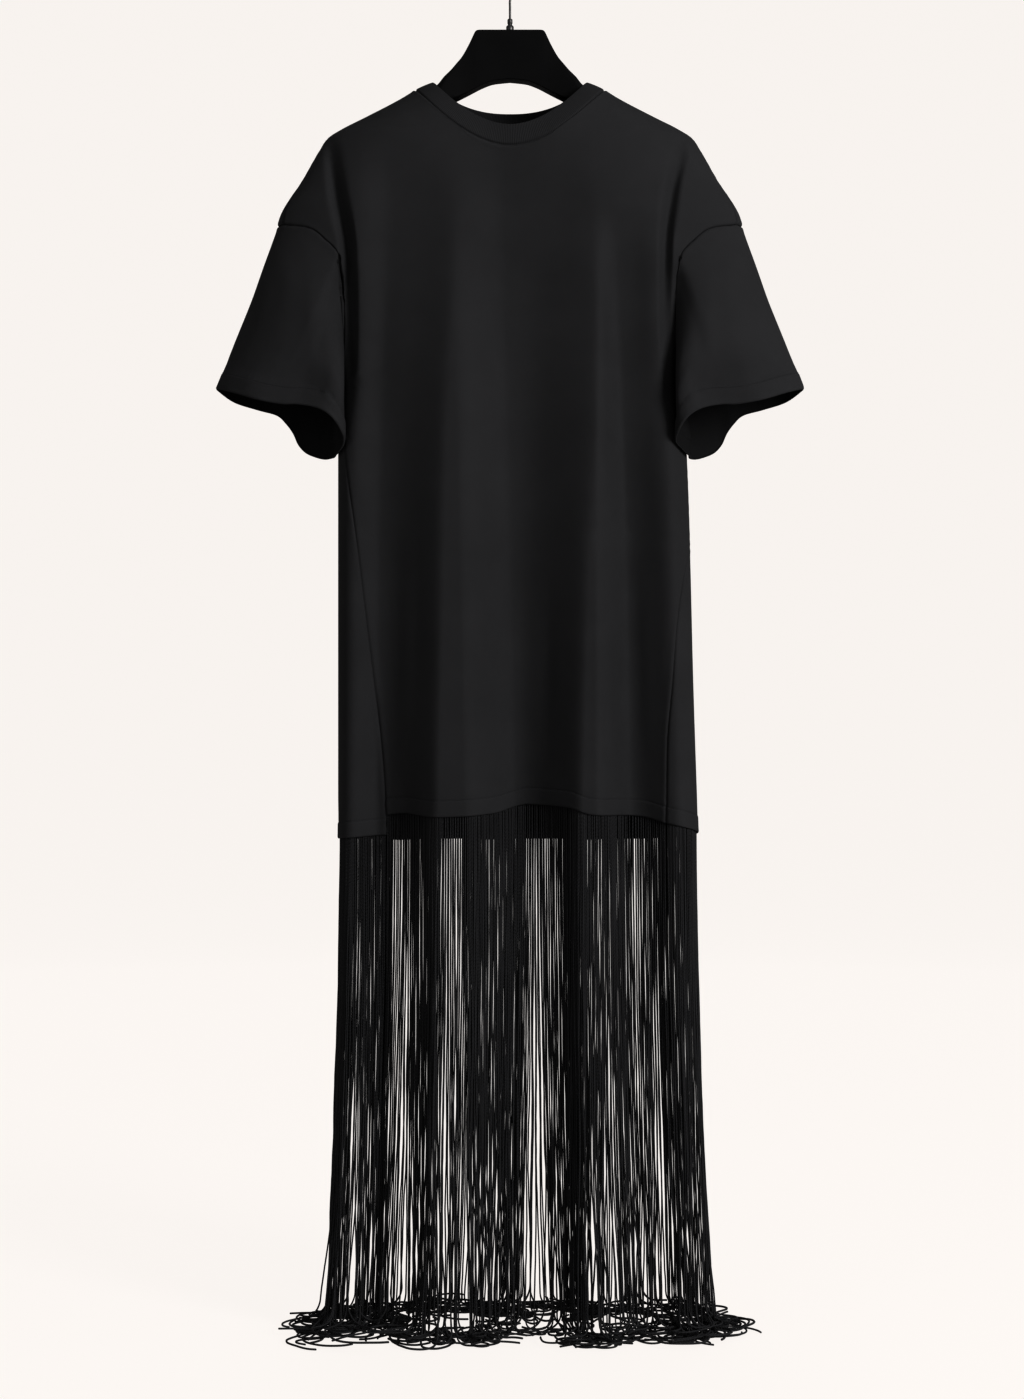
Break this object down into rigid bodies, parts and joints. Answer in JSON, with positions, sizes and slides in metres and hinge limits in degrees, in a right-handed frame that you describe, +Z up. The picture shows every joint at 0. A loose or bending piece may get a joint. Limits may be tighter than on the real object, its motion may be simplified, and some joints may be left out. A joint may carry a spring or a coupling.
{
  "type": "t-shirt dress on a hanger",
  "caption": "Loose T-shirt dress in black jersey with a ribbed crew neck, wide short sleeves and a long floor-length fringe at its hem, hanging on a broad-necked hanger.",
  "frame": {"origin": "inside top of the hanger's hook, where a rail carries it", "axes": "+Z up, -Y towards the front of the dress, +X to the right in a front view"},
  "size_m": [0.6624, 0.3001, 1.5603],
  "materials": {
    "jersey": "matte black cotton jersey with a soft nap",
    "rib": "matte black ribbed knit",
    "fringe": "black knitted cord with a faint sheen",
    "plastic": "matte black moulded",
    "steel": "polished wire"
  },
  "bodies": {
    "root": {"front_panel": "jersey", "back_panel": "jersey", "sleeve_left": "jersey", "sleeve_right": "jersey", "neck_band": "rib", "fringe_front": "fringe", "fringe_back": "fringe", "hanger_body": "plastic", "hanger_ferrule": "steel", "hanger_hook": "steel"}
  },
  "joints": []
}
